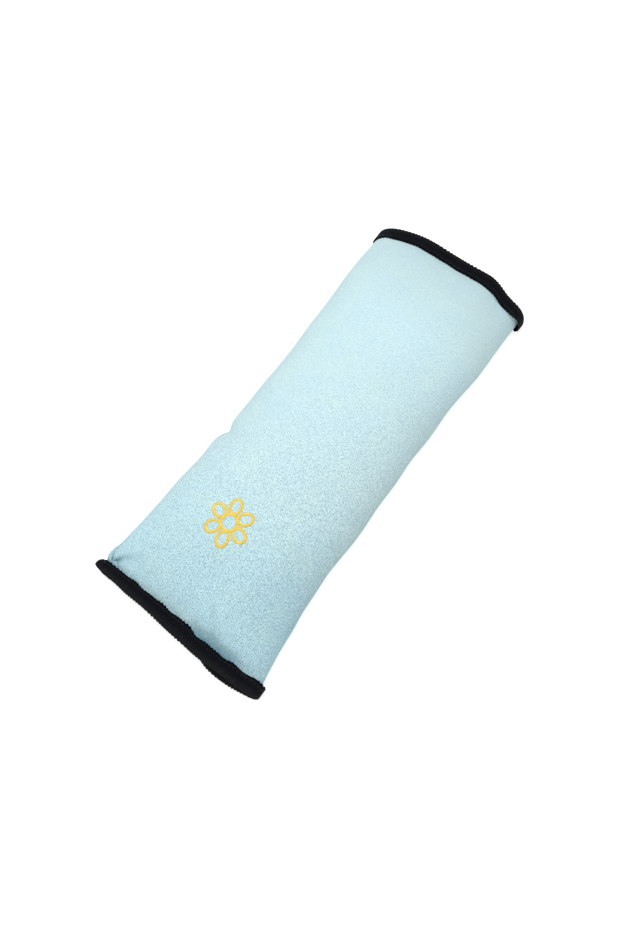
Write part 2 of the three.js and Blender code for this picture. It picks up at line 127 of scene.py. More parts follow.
def half_oval(half_width, rise, base, roundness, count):
    """Half a superellipse: across is a cosine and up is a sine, each to the power 2 over the roundness."""
    a = np.linspace(0.0, math.pi, 900)
    power = 2.0 / roundness
    across = np.sign(np.cos(a)) * np.abs(np.cos(a)) ** power
    up = np.abs(np.sin(a)) ** power
    return evenly(np.stack([half_width * across, base + rise * up], axis=1), count)


def end_arch(end, count, grow=0.0):
    """The flat end in section: a half superellipse, moved to the left, that stands on the corners of its
    flaps."""
    arch = half_oval(end["half"] + grow, end["arch"] + grow, CORNER_RISE + LAYER_GAP / 2, END_ROUNDNESS,
                     count)
    return arch + [end["side"], 0.0]


# Laws along the pad

def far_share(x):
    """0 at the near end and 1 at the far one, by a smooth step over the length."""
    return ease((x + LENGTH / 2) / LENGTH)


def from_ends(x, law):
    """The product of a law of the distance left to the full section, taken from each end."""
    near = 1 - np.clip((LENGTH / 2 + x - HELD_FLAT) / NEAR["swell"], 0, 1)
    far = 1 - np.clip((LENGTH / 2 - x - HELD_FLAT) / FAR["swell"], 0, 1)
    return law(near) * law(far)


def swell(x):
    """How far the front has swelled: the root of 1 less (distance left) to the power 2.2."""
    return from_ends(x, lambda left: np.sqrt(np.maximum(0.0, 1 - left**2.2)))


def climb(x):
    """How far the side seam has climbed: 1 less (distance left) to the power 1.8."""
    return from_ends(x, lambda left: 1 - left**1.8)


def narrowing(x):
    """How far the width has gone from the ends' to the waist's: 1 less (distance left) to a power, for
    each end."""
    near = 1 - np.clip((LENGTH / 2 + x - HELD_FLAT) / NEAR["spread"], 0, 1)
    far = 1 - np.clip((LENGTH / 2 - x - HELD_FLAT) / FAR["spread"], 0, 1)
    return (1 - near ** NEAR["power"]) * (1 - far ** FAR["power"])


def plan_shift(x, y):
    """Each end's slant and its corners' set-back, which grows with the cube of the place across."""
    near = NEAR["back"] * np.abs((y - NEAR["side"]) / NEAR["half"]) ** 3 + NEAR["skew"] * y
    far = -FAR["back"] * np.abs((y - FAR["side"]) / FAR["half"]) ** 3 + FAR["skew"] * y
    return mix(near, far, far_share(x))


def flap_shift(side, x, inward):
    """How far a flap lies along the pad from the bolster's place, by the distance in from its corner. The
    left flap draws back over 25 mm. The right one bulges out by half a sine wave over 46 mm and draws back
    over 18, or over 26 where the near binding holds it."""
    back = mix(NEAR["flap_back"], -FAR["flap_back"], far_share(x))
    if side > 0:
        return back * ease(inward / 25.0)
    bulge = mix(NEAR["bulge"], -FAR["bulge"], far_share(x)) * np.sin(math.pi * np.clip(inward / 46.0, 0, 1))
    bound = ease(1 - (LENGTH / 2 + x) / 20.0)
    return back * mix(ease((inward - 28.0) / 18.0), ease((inward - 31.0) / 26.0), bound) - bulge


def seam_across(side, x, waist):
    """How far the seam lies from the pad's middle, on its left where side is 1 and on its right where it
    is -1."""
    corner = mix(NEAR["half"] + side * NEAR["side"], FAR["half"] + side * FAR["side"], far_share(x))
    return mix(corner, waist, narrowing(x))


def seam_height(x):
    return mix(CORNER_RISE, SEAM_HEIGHT, climb(x))


def settled(x):
    """0 where a flap leaves its binding, 1 where it lies on the table, by a smooth step over 20 mm."""
    return np.minimum(ease((LENGTH / 2 + x - HELD_FLAT) / 20), ease((LENGTH / 2 - x - HELD_FLAT) / 20))


def stations(count, start=CLOTH_END):
    """Places along the pad that crowd together towards both ends, as the cosine of an even angle does."""
    t = np.linspace(0.0, 1.0, count)
    crowded = mix(t, (1 - np.cos(math.pi * t)) / 2, 0.8)
    return mix(-LENGTH / 2 + start, LENGTH / 2 - start, crowded)


# Surfaces: arrays of points, rows along the pad and columns across it

def loft(x, near, far, waist, risen):
    """Rows mixed from the sections of both ends and the waist. Across by narrowing, up by risen over the
    seam."""
    share, narrow, up = far_share(x)[:, None], narrowing(x)[:, None], risen(x)[:, None]
    end_y = mix(near[None, :, 0], far[None, :, 0], share)
    end_z = mix(near[None, :, 1], far[None, :, 1], share)
    y = mix(end_y, waist[None, :, 0], narrow)
    z = seam_height(x)[:, None] + mix(end_z - CORNER_RISE, waist[None, :, 1] - SEAM_HEIGHT, up)
    return np.stack([x[:, None] + plan_shift(x[:, None], y), y, z], axis=2)


def front_surface(x, count):
    """The plush face: the lofted arch of each end, grown by half the seam, and the crowned waist."""
    waist = half_oval(BODY_WIDTH / 2, CROWN, SEAM_HEIGHT + LAYER_GAP / 2, FRONT_ROUNDNESS, count)
    grow = SEAM_LAYERS / 2
    return loft(x, end_arch(NEAR, count, grow), end_arch(FAR, count, grow), waist, swell)


def back_surface(x, count, inset):
    """The underside, inset from the lining's face: ends less half the seam, and a waist that hangs below."""
    waist = half_oval(BODY_WIDTH / 2 - PLUSH - LAYER_GAP - inset, inset - BELLY - LAYER_GAP / 2,
                      SEAM_HEIGHT + LAYER_GAP / 2, BACK_ROUNDNESS, count)
    shrink = inset - SEAM_LAYERS / 2
    return loft(x, end_arch(NEAR, count, shrink), end_arch(FAR, count, shrink), waist, climb)


def flap_line(seam_y, seam_z, curl, floor, lap, count):
    """A flap in section: a quarter ellipse down from the seam, a flat run, and for the lapping flap a
    smooth step up beside the other flap's edge."""
    a = np.linspace(0.0, math.pi / 2, 60)
    parts = [np.stack([seam_y - curl + curl * np.cos(a), seam_z - (seam_z - floor) * np.sin(a)], axis=1)]
    if lap > floor:
        t = np.linspace(0.0, 1.0, 50)
        low = FLAP_OVERLAP / 2 + FLAP_STEP + LAYER_GAP
        parts.append(np.stack([low - FLAP_STEP * t, mix(floor, lap, ease(t))], axis=1))
    parts.append(np.array([[-FLAP_OVERLAP / 2, max(floor, lap)]]))
    return evenly(np.concatenate(parts), count)


def flap_surface(side, x, count):
    """The middle of a flap's cloth. side is 1 on the pad's left, whose flap laps over the other."""
    waist_y = (BODY_WIDTH - FLAP_CLOTH) / 2
    seam_y = seam_across(side, x, waist_y)
    curl = mix(TAPE_CORNER, waist_y - BACK_FLAT, climb(x))
    floor = mix(TAPE_FLOOR, FLAP_CLOTH / 2, settled(x))
    lap = mix(TAPE_UPPER, FLAP_LAP, settled(x)) if side > 0 else np.zeros_like(x)
    seam_z = seam_height(x) - FLAP_DROP
    line = np.array([flap_line(*sizes, count) for sizes in zip(seam_y, seam_z, curl, floor, lap)])
    y = side * line[:, :, 0]
    shift = plan_shift(x[:, None], y) + flap_shift(side, x[:, None], seam_y[:, None] - line[:, :, 0])
    grid = np.stack([x[:, None] + shift, y, line[:, :, 1]], axis=2)
    return grid if side > 0 else grid[:, ::-1]


def grid_normals(grid):
    """Unit normals, by the cross product of the steps across and along a grid."""
    return unit(np.cross(np.gradient(grid, axis=1), np.gradient(grid, axis=0)))


# Meshes and grids

def grid_at(grid, row, column):
    """Points between a grid's points, mixed from the four round each."""
    i = np.clip(row.astype(int), 0, grid.shape[0] - 2)
    j = np.clip(column.astype(int), 0, grid.shape[1] - 2)
    ahead, aside = (row - i)[..., None], (column - j)[..., None]
    return mix(mix(grid[i, j], grid[i, j + 1], aside), mix(grid[i + 1, j], grid[i + 1, j + 1], aside), ahead)


def quads_of(rows, columns, closed=False):
    """Four-cornered faces between the neighbours of a grid, joined round across it where it is closed."""
    index = np.arange(rows * columns).reshape(rows, columns)
    if closed:
        index = np.concatenate([index, index[:, :1]], axis=1)
    return np.stack([index[:-1, :-1], index[:-1, 1:], index[1:, 1:], index[1:, :-1]], axis=2).reshape(-1, 4)


def make_mesh(name, points, faces, uv=None):
    """A mesh object at the origin. points are millimetres, faces are arrays of corner numbers."""
    mesh = bpy.data.meshes.new(name)
    corners = np.concatenate([f.reshape(-1) for f in faces]).astype(np.int32)
    totals = np.concatenate([np.full(len(f), f.shape[1]) for f in faces]).astype(np.int32)
    starts = np.concatenate([[0], np.cumsum(totals)[:-1]]).astype(np.int32)
    mesh.vertices.add(len(points))
    mesh.vertices.foreach_set("co", (points * MM).astype(np.float32).reshape(-1))
    mesh.loops.add(len(corners))
    mesh.loops.foreach_set("vertex_index", corners)
    mesh.polygons.add(len(totals))
    mesh.polygons.foreach_set("loop_start", starts)
    mesh.polygons.foreach_set("use_smooth", np.ones(len(totals), dtype=bool))
    mesh.update(calc_edges=True)
    if uv is not None:
        layer = mesh.uv_layers.new(name="cloth")
        layer.data.foreach_set("uv", uv[corners].astype(np.float32).reshape(-1))
    mesh.validate()
    piece = bpy.data.objects.new(name, mesh)
    bpy.context.scene.collection.objects.link(piece)
    return piece


# The bolster

ROWS, COLUMNS = 230, 170
COARSE_ROWS, COARSE_COLUMNS = 90, 52
UNDER_INSET = 0.9
FILL_INSET, FILL_STEPS, FILL_CAP = 1.2, 20, 3.5
FOLD_AT = -31.5


def ends_wave(x, y):
    """The uneven lie of both ends: a step of 2 mm across the near one, a hump and a hollow in the far one."""
    near = ease(1 - (x + LENGTH / 2) / 60)
    far = ease(1 - (LENGTH / 2 - x) / 50)
    step = mix(0.4, -1.3, near_step(y)) * ease((y + 53) / 14) * ease((64 - y) / 14)
    hump = 1.3 * bell(y + 19.2, 7) - 1.5 * bell(y + 31.5, 5.5) + 0.7 * bell(y - 26, 8)
    return near * step + far * hump


def near_step(y):
    """0 on the near end's left and 1 on its right, by a smooth step over 7 mm at the kink in its edge."""
    return ease((-1.0 - y) / 7.0)


def spread_out(x, y):
    """How far cloth lies further out to its own side than the plain form. The near left corner is drawn in
    by 4.2 mm, falling off over 4 mm along the pad, with a full shoulder behind it. A narrow fold draws the
    left seam in by 2 mm, with a slight bulge on its near side. The filling stands out or back by a
    millimetre in slow bumps along both sides."""
    gap = np.maximum(0.0, LENGTH / 2 + x - TAPE_WIDTH)
    corner = (1.7 * bell(gap - 8.5, 3.6) - 4.2 * bell(gap, 2.6)) * ease((y - 34.0) / 26.0)
    fold = -2.2 * bell(x - FOLD_AT, 3.0) + 0.8 * bell(x - FOLD_AT + 11.0, 6.0)
    left = fold + 1.0 * bell(x - 106.0, 12.0)
    right = 1.5 * bell(x + 39.0, 22.0) - 1.3 * bell(x - 45.0, 18.0) + 1.3 * bell(x - 90.0, 13.0)
    return corner + left * ease((y - 14.0) / 30.0) - right * ease((-14.0 - y) / 30.0)


def rings_of(x, columns):
    """Closed rings round the bolster: the front from left to right, then the underside back to the left."""
    front = front_surface(x, columns)
    under = back_surface(x, columns, UNDER_INSET)
    return np.concatenate([front, under[:, ::-1]], axis=1)


def ring_faces(rows, columns):
    """The rings' sides, and strips that close both flat ends from the front's columns to the underside's."""
    sides = quads_of(rows, 2 * columns, closed=True)
    front = np.arange(columns)
    under = 2 * columns - 1 - front
    near = np.stack([front[:-1], under[:-1], under[1:], front[1:]], axis=1)
    last = (rows - 1) * 2 * columns
    far = last + np.stack([front[:-1], front[1:], under[1:], under[:-1]], axis=1)
    return [sides, near, far]


def blown_up(x, columns):
    """How far each point of a coarse bolster moves when cloth of that shape is filled: a cloth simulation
    with pressure inside, both flat ends and the side seams held, and no point moved by more than 3.5 mm."""
    start = rings_of(x, columns)
    outward = grid_normals(start)
    u = np.linspace(0.0, 1.0, columns)
    free = np.tile(ease(5 * np.minimum(u, 1 - u)), 2)
    inset = FILL_INSET * swell(x)[:, None, None] * free[None, :, None] * outward
    start = start - inset
    piece = make_mesh("filling_cloth", start.reshape(-1, 3), ring_faces(len(x), columns))
    held = piece.vertex_groups.new(name="held")
    flat = np.abs(np.abs(x) - LENGTH / 2) < HELD_FLAT + 0.5
    picked = (flat[:, None] | (free[None, :] == 0)).reshape(-1).nonzero()[0]
    held.add(picked.tolist(), 1.0, "REPLACE")
    cloth = piece.modifiers.new("filled", "CLOTH")
    for key, value in dict(quality=6, mass=0.25, tension_stiffness=12, compression_stiffness=6,
                           shear_stiffness=4, bending_stiffness=0.25, use_pressure=True,
                           uniform_pressure_force=4, vertex_group_mass="held").items():
        setattr(cloth.settings, key, value)
    cloth.settings.effector_weights.gravity = 0
    cloth.collision_settings.use_collision = False
    scene = bpy.context.scene
    scene.frame_start, scene.frame_end = 1, FILL_STEPS
    for at in range(1, FILL_STEPS + 1):
        scene.frame_set(at)
    shaped = piece.evaluated_get(bpy.context.evaluated_depsgraph_get()).to_mesh()
    end = np.empty(len(shaped.vertices) * 3, dtype=np.float32)
    shaped.vertices.foreach_get("co", end)
    moved = end.reshape(start.shape) / MM - start
    bpy.data.objects.remove(piece)
    scene.frame_set(1)
    far = np.linalg.norm(moved, axis=2, keepdims=True)
    return moved * np.minimum(1.0, FILL_CAP / np.maximum(far, 1e-6)) - inset


def carried_over(moved, x_coarse, x_fine, columns):
    """Moves of a coarse grid of rings, taken to a fine one by straight steps along and across each half."""
    half = moved.shape[1] // 2
    row = np.interp(x_fine, x_coarse, np.arange(len(x_coarse)))[:, None] + np.zeros(columns)
    column = np.linspace(0, half - 1, columns) + 0 * row
    return np.concatenate([grid_at(part, row, column) for part in (moved[:, :half], moved[:, half:])], axis=1)


def across_run(grid):
    """Each point's way across its row from the left seam."""
    step = np.linalg.norm(np.diff(grid, axis=1), axis=2)
    return np.concatenate([np.zeros((len(grid), 1)), np.cumsum(step, axis=1)], axis=1)


TUCKS = ((0.95, 3.2, 8.5), (-0.18, 2.8, 7.0))


def front_relief(grid, rows):
    """The front's small shapes, along its normal, and a mask of painted shade. The shapes are
    fibre lumps, gathers at both bindings, two tucks that run out from the near left corner, a hollow with
    a full ridge behind it along the right half of the near binding, and a crease that runs from that
    hollow towards the left. The painted shade darkens the tucks, the crease and the fold, both bindings a
    little, a strip along the right half of the near binding, and the right flank of the near third. rows
    are the places along the pad before the slant. TUCKS are angles, depths and reaches."""
    x, y = grid[..., 0], grid[..., 1]
    near = np.maximum(0.0, LENGTH / 2 + rows[:, None] + 0 * y - NEAR["tape"])
    far = np.maximum(0.0, LENGTH / 2 - rows[:, None] + 0 * y - FAR["tape"])
    run = across_run(grid)
    body = swell(x)
    lumps = (0.60 * np.sin(x / 17.0 + 1.3 * np.sin(y / 21.0)) * np.sin(y / 14.0 + 0.8 * np.sin(x / 26.0))
             + 0.35 * np.sin(x / 9.0 + y / 13.0 + 1.0) * np.sin(y / 8.5 - x / 23.0))
    gathers = 0.0
    for gap, seed, height in ((near, 0.4, 0.50), (far, 2.1, 0.42)):
        wave = np.sin(y / 1.75 + 2.2 * np.sin(y / 11.0 + seed)) * (0.6 + 0.4 * np.sin(y / 6.3 + 3 * seed))
        gathers = gathers + height * wave * np.exp(-gap / 6.0) * ease(gap / 2.0)
    ahead, aside = LENGTH / 2 + rows[:, None] - NEAR["tape"] + 0.6, run - 10.4
    out, turn = np.hypot(ahead, aside), np.arctan2(aside, ahead)
    tucks = 0.0
    for angle, depth, reach in TUCKS:
        tucks = tucks + depth * bell(out * (turn - angle), 0.6 + 0.06 * out) * np.exp(-out / reach)
    right_half = ease((0.0 - y) / 7) * ease((y + 48) / 16)
    hollow = 1.3 * bell(near - 2.2, 1.5) * right_half
    fullness = 1.9 * bell(near - 9.0, 5.5) * ease((2.0 - y) / 12) * ease((y + 56) / 14)
    off, on = (near - 2.0) * 0.65 - (y + 20.0) * 0.76, (near - 2.0) * 0.76 + (y + 20.0) * 0.65
    crease = 1.0 * bell(off, 1.7) * ease(on / 3.0) * (1 - ease((on - 14.0) / 9.0))
    seams = ease(run / 6.0) * ease((run[:, -1:] - run) / 6.0)
    fold = 0.9 * bell(x - FOLD_AT + 0.15 * run, 1.9) * np.exp(-run / 11.0)
    relief = (body * lumps + gathers - hollow - crease + fullness) * seams - (tucks + fold) * ease(run / 3.0)
    # Painted shade: darker in the tucks, the crease and the fold, and a little along both bindings
    painted_shade = 0.55 * tucks + 0.15 * crease + 0.2 * fold + 0.06 * (np.exp(-near / 4.0) + np.exp(-far / 3.0))
    # Painted shade in a strip along the right half of the near binding
    painted_shade = painted_shade + (0.80 + 0.50 * bell(y + 20, 9)) * np.exp(-near / 3.2) * right_half
    # Painted shade over the right flank of the near third
    painted_shade = painted_shade + 0.24 * ease((-4.0 - y) / 40) * bell(x + 92.0, 32.0)
    return relief, np.clip(painted_shade, 0.0, 1.0)


def make_bolster():
    """The stuffed body as one closed skin. Returns the piece and the grids of its front and its underside."""
    x = stations(ROWS)
    rings = rings_of(x, COLUMNS)
    coarse = stations(COARSE_ROWS)
    rings = rings + carried_over(blown_up(coarse, COARSE_COLUMNS), coarse, x, COLUMNS)
    front = rings[:, :COLUMNS]
    relief, painted_shade = front_relief(front, x)
    front = front + relief[..., None] * grid_normals(front)
    rings = np.concatenate([front, rings[:, COLUMNS:]], axis=1)
    rings[..., 1] += spread_out(rings[..., 0], rings[..., 1])
    rings[..., 0] += ends_wave(rings[..., 0], rings[..., 1])
    rings[..., :2] += PLAN_OFFSET
    piece = make_mesh("bolster", rings.reshape(-1, 3), ring_faces(ROWS, COLUMNS))
    # The mask of painted shade, kept on the front's points and nought on the underside, for the plush's
    # colour
    painted_shade = np.concatenate([painted_shade, 0 * painted_shade], axis=1).astype(np.float32)
    piece.data.attributes.new("painted_shade", "FLOAT", "POINT").data.foreach_set("value", painted_shade.reshape(-1))
    return piece, rings[:, :COLUMNS], rings[:, COLUMNS:][:, ::-1]


def plan_offset():
    """How far the solids were moved to centre them over the origin, from the hook tape's place."""
    low, high = (np.array(corner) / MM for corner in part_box("hook_tape"))
    x, y = np.full(2, -CLOSURE_REACH), np.array([1, -1]) * CLOSURE_WIDTH / 2
    first = x + plan_shift(x, y) + flap_shift(-1, x, seam_across(-1, x, BODY_WIDTH / 2) + y)
    return np.array([low[0] - first.min(), (low[1] + high[1]) / 2])


PLAN_OFFSET = plan_offset()
bolster, front_grid, under_grid = make_bolster()


# The lining and the belt flaps

LINING_WALL, LINING_GAP = 0.5, 0.55


def make_sheet(name, grid, thickness):
    """A sheet of cloth from its middle surface: half its thickness on either side, and its UV in metres."""
    uv = np.stack([across_run(grid), grid[..., 0]], axis=2).reshape(-1, 2) * MM
    piece = make_mesh(name, grid.reshape(-1, 3), [quads_of(*grid.shape[:2])], uv=uv)
    wall = piece.modifiers.new("cloth", "SOLIDIFY")
    wall.thickness, wall.offset = thickness * MM, 0.0
    return piece, grid


def make_lining():
    """The cloth under the bolster: the underside's points, 0.55 mm further out, puckered at both ends."""
    x, y = under_grid[..., 0], under_grid[..., 1]
    gap = LENGTH / 2 - np.abs(x - PLAN_OFFSET[0]) - TAPE_WIDTH
    pucker = 0.25 * np.sin(y / 1.9 + 1.5 * np.sin(y / 9.0)) * np.exp(-np.maximum(gap, 0) / 7) * ease(gap / 2)
    grid = under_grid - (LINING_GAP + pucker)[..., None] * grid_normals(under_grid)
    return make_sheet("lining_cloth", grid[:, 1:-1], LINING_WALL)


FLAP_ROWS, FLAP_COLUMNS = 150, 96


def make_flap(side):
    """A belt flap's cloth: its middle surface with a slack wave that fades where it is held or lies flat."""
    grid = flap_surface(side, stations(FLAP_ROWS), FLAP_COLUMNS)
    px, pz = grid[..., 0], grid[..., 2]
    hanging = ease((pz - 5.0) / 14.0) * ease((seam_height(px) - pz) / 9.0) * swell(px)
    slack = 0.8 * np.sin(px / 15.0 + side) * np.sin(pz / 9.0 + px / 60.0) + 0.35 * np.sin(px / 6.1 + pz / 7.0)
    grid = grid + (hanging * slack)[..., None] * grid_normals(grid)
    grid[..., 1] += spread_out(grid[..., 0], grid[..., 1])
    grid[..., :2] += PLAN_OFFSET
    return make_sheet("left_belt_flap" if side > 0 else "right_belt_flap", grid, FLAP_CLOTH)


lining_cloth, lining_grid = make_lining()
left_flap, left_grid = make_flap(1)
right_flap, right_grid = make_flap(-1)


# The end bindings

TAPE_STEPS = 700
RIB_PITCH = 2.2
RIB_RELIEF = 0.32
TIP_DEPTH = 2.5
LEFT_TIP, RIGHT_TIP = 5.5, 3.0
TAPE_WALL = 0.8
STITCH_INSET, STITCH_PITCH, STITCH_LENGTH = 1.6, 3.0, 2.1


def tape_outline(width):
    """A folded tape's closed outline, with its depth from the nose and its height: two walls that meet in
    a half round nose, each ending in a rounded edge, and the fold's inside."""
    half, wall = TAPE_THICKNESS / 2, TAPE_WALL
    slot = half - wall
    a = np.linspace(0, math.pi, 13)
    nose = half * np.stack([1 - np.sin(a), np.cos(a)], axis=1)
    b = np.linspace(math.pi / 2, -math.pi / 2, 5)
    edge = wall / 2 * np.stack([np.cos(b), np.sin(b)], axis=1) + [width - wall / 2, half - wall / 2]
    inner = np.array([[4.0, -slot], [1.7, -slot * 0.9], [1.35, 0.0], [1.7, slot * 0.9], [4.0, slot]])
    top = np.array([[5.6, half], [4.2, half], [3.0, half]])
    return np.concatenate([top, nose, top[::-1] * [1, -1], edge * [1, -1], inner, edge[::-1]])


def tape_path(end, count):
    """The whole bound edge in section: up from the left flap's free edge, round the corner, over the
    bolster's arch, round the other corner and along the right flap. Also gives each point's shift along
    the pad as part of a flap."""
    size = CORNER_RISE - FLAP_DROP
    corners = [end["half"] + side * end["side"] for side in (1, -1)]
    left = flap_line(corners[0], size, TAPE_CORNER, TAPE_FLOOR, TAPE_UPPER, 400)[::-1]
    right = flap_line(corners[1], size, TAPE_CORNER, TAPE_FLOOR, 0.0, 400) * [-1, 1]
    path = evenly(np.concatenate([left, end_arch(end, 800), right]), count, turn=4.0)
    y, at = path[:, 0], np.arange(count)
    place = np.full(count, (-1 if end is NEAR else 1) * (LENGTH / 2 - TAPE_WIDTH / 2))
    shift = np.where(at < y.argmax(), flap_shift(1, place, corners[0] - y), 0.0)
    return path, shift + np.where(at > y.argmin(), flap_shift(-1, place, corners[1] + y), 0.0)


def corner_reach(end, path):
    """How far the tape's outer wall stands out past the cloth at its left and right corner, by smooth
    steps over 8 mm. Its inner wall follows the cloth."""
    left = end["reach"][0] * ease((path[:, 0] - end["half"] - end["side"] + 8) / 8)
    return left - end["reach"][1] * ease((end["side"] - end["half"] - path[:, 0] + 8) / 8)


def raised(path):
    """0 where the tape is part of a flap, and 1 where it has climbed 5 mm up the bolster's arch."""
    return ease((path[:, 1] - CORNER_RISE) / 5.0)


def lip(end, path):
    """How far the near fold's nose stands out past the cloth's end: 0.2 mm along the flaps, 1.2 mm over
    the bolster, and more towards the kink, where the nose runs on straight as the cloth steps out. Below
    the left corner it is drawn back by 1.4 mm."""
    y, up = path[:, 0], raised(path)
    kink = 1.7 * (ease((30.0 - y) / 30.0) - near_step(y)) + 0.8 * bell(y + 15.0, 7.0)
    over = kink + ease((56.0 - y) / 16.0)
    return 0.2 + up * over - 1.4 * (1 - up) * ease((y - 46.0) / 8.0) if end is NEAR else 0.0 * y


def rounded_tip(end, path):
    """How much of its width the tape keeps: all, and at the near corners the root of 1 less a share of the
    square of the way into the last few millimetres, as a rounded tip has. The left tip is half round, the
    right one less so."""
    y = path[:, 0]
    left = np.clip((y - y.max() + LEFT_TIP) / LEFT_TIP, 0.0, 1.0)
    right = np.clip((y.min() + RIGHT_TIP - y) / RIGHT_TIP, 0.0, 1.0)
    return np.sqrt(1 - 0.9 * left**2 - 0.3 * right**2) if end is NEAR else 1.0 + 0.0 * y


def drawn_on(end, path):
    """How much further the selvedge reaches at the right corner: 1.5 mm more at the near end, as much less
    at the far one."""
    starts = -26.0 if end is NEAR else -32.0
    return (1.5 if end is NEAR else -1.5) * ease((starts - path[:, 0]) / 12.0)


def tape_place(way, path, shift, depth):
    """Where the tape's points lie along the pad, from their depth in from its end, row by row of the path."""
    x = way * (LENGTH / 2 - depth)
    y = path[:, :1] + 0 * x
    x = x + plan_shift(x, y) + shift[:, None]
    return x + raised(path)[:, None] * ends_wave(x, y) + PLAN_OFFSET[0]


def make_binding(end, way):
    """The tape of one end: its outline carried along the bound edge. The walls breathe by a tenth of a
    millimetre, where the stitches pull them in, and the nose and the selvedges are toothed by the ribs."""
    path, shift = tape_path(end, TAPE_STEPS)
    along = unit(np.gradient(path, axis=0))
    width = end["tape"]
    outline = tape_outline(width)
    depth, height = outline[None, :, 0], outline[None, :, 1]
    s = run_along(path)[:, None]
    stitch = 0.5 + 0.5 * np.cos(2 * math.pi * s / STITCH_PITCH)
    pull = 1 - 0.10 * bell(depth - width + STITCH_INSET, 0.8) * stitch
    waver = 0.26 * np.sin(s / 3.1 + way) + 0.16 * np.sin(s / 1.7 + 2.0)
    rib = np.sin(2 * math.pi * s / RIB_PITCH + 2.0 * np.sin(s / 4.3)) * (0.6 + 0.4 * np.sin(s / 2.9 + 1.7))
    teeth = RIB_RELIEF * rib * ease((depth - width + 1.1) / 0.9)
    puff = 1 + 0.05 * np.sin(s / 8.3 + 1.0) + 0.03 * np.sin(s / 3.7) + 0.03 * rib
    out = lip(end, path)[:, None] * np.clip(1 - depth / width, 0, 1)
    reach = waver + teeth + drawn_on(end, path)[:, None]
    depth = depth + reach * ease((depth - 3) / 4) + RIB_RELIEF * rib * bell(depth, 1.0) - out
    depth = mix(TIP_DEPTH, depth, rounded_tip(end, path)[:, None])
    slot = TAPE_THICKNESS / 2 - TAPE_WALL
    outer = np.clip((height + slot) / (2 * slot), 0, 1)
    spread = spread_out(way * (LENGTH / 2 - depth), path[:, :1])
    aside = mix(spread, corner_reach(end, path)[:, None], outer) + PLAN_OFFSET[1]
    x = tape_place(way, path, shift, depth)
    y = path[:, :1] + along[:, 1:] * height * pull * puff + aside
    z = np.maximum(path[:, 1:] - along[:, :1] * height * pull * puff, 0.02)
    grid = np.stack([x, y, z], axis=2)
    uv = np.stack([s + 0 * x, run_along(outline) + 0 * x], axis=2) * MM
    columns = len(outline)
    around = np.arange(columns)[None]
    caps = [around[:, ::-1], (len(path) - 1) * columns + around]
    if way > 0:
        grid, uv = grid[::-1], uv[::-1]
    piece = make_mesh("near_binding_tape" if way < 0 else "far_binding_tape", grid.reshape(-1, 3),
                      [quads_of(len(path), columns, closed=True), *caps], uv=uv.reshape(-1, 2))
    return piece, path, along, shift


near_tape, *near_line = make_binding(NEAR, -1)
far_tape, *far_line = make_binding(FAR, 1)


# Stitches and embroidery

THREAD_STEPS, THREAD_SIDES = 7, 6
BINDING_THREAD, CLOSURE_THREAD, SATIN_THREAD = (0.17, 0.05), (0.16, 0.06), (0.24, 0.62)
CLOSURE_INSET, CLOSURE_PITCH, CLOSURE_STITCH = 1.5, 3.2, 2.2


def threads(name, starts, ends, ups, radius, rise):
    """Many short threads as one mesh. Each is an arc from its start to its end that rises by a parabola,
    with a round section that narrows to a point at both ends."""
    t = np.linspace(0.0, 1.0, THREAD_STEPS)
    line = mix(starts[:, None], ends[:, None], t[None, :, None])
    line = line + ups[:, None] * (rise * (4 * t * (1 - t)) - 0.6 * radius)[None, :, None]
    side = unit(np.cross(ups, unit(ends - starts)))
    width = radius * np.sqrt(np.clip(1 - (2 * t - 1) ** 6, 0.02, 1))
    sides, rings = THREAD_SIDES, THREAD_STEPS
    a = np.arange(sides) * 2 * math.pi / sides
    ring = np.cos(a)[:, None] * side[:, None, None] + np.sin(a)[:, None] * ups[:, None, None]
    ring = ring * width[:, None, None]
    points = (line[:, :, None, :] + ring).reshape(-1, 3)
    one = quads_of(rings, sides, closed=True)[:, ::-1]
    first = np.arange(sides)[None, :]
    last = (rings - 1) * sides + np.arange(sides)[None, ::-1]
    offset = (np.arange(len(starts)) * rings * sides)[:, None, None]
    faces = [(one[None] + offset).reshape(-1, 4), (first[None] + offset).reshape(-1, sides),
             (last[None] + offset).reshape(-1, sides)]
    return make_mesh(name, points, faces)


def running_stitch(centre, normal, pitch, length):
    """Starts, ends and ups of stitches of one length along a line of points, one at each pitch."""
    reached = run_along(centre)
    at = np.arange(pitch, reached[-1] - pitch, pitch)
    pick = lambda values, where: np.stack([np.interp(where, reached, values[:, k]) for k in range(3)], axis=1)
    return pick(centre, at - length / 2), pick(centre, at + length / 2), unit(pick(normal, at))


def joined(parts):
    """The starts, ends and ups of several rows of stitches as one set."""
    return [np.concatenate([part[k] for part in parts]) for k in range(3)]


def laid_on_front(ahead, aside):
    """Where flat places ahead of and aside from the flower's middle come to lie on the front, and which
    way is up."""
    row_x = front_grid[:, COLUMNS // 2, 0]
    middle = int(np.argmin(np.abs(row_x - FLOWER_X)))
    run = across_run(front_grid)[middle]
    centre = np.interp(-FLOWER_Y, -front_grid[middle, :, 1], run)
    row = np.interp(FLOWER_X + ahead, row_x, np.arange(ROWS))
    column = np.interp(centre - aside, run, np.arange(COLUMNS))
    return grid_at(front_grid, row, column), unit(grid_at(grid_normals(front_grid), row, column))


FLOWER_X, FLOWER_Y = np.array([-79.0, 8.5]) + PLAN_OFFSET
PETALS, PETAL_LENGTH, PETAL_WIDTH, REACH, RING, SATIN = 6, 10.5, 8.4, 14.5, 4.6, 2.0
SATIN_PITCH, SATIN_SLANT = 0.36, 0.35


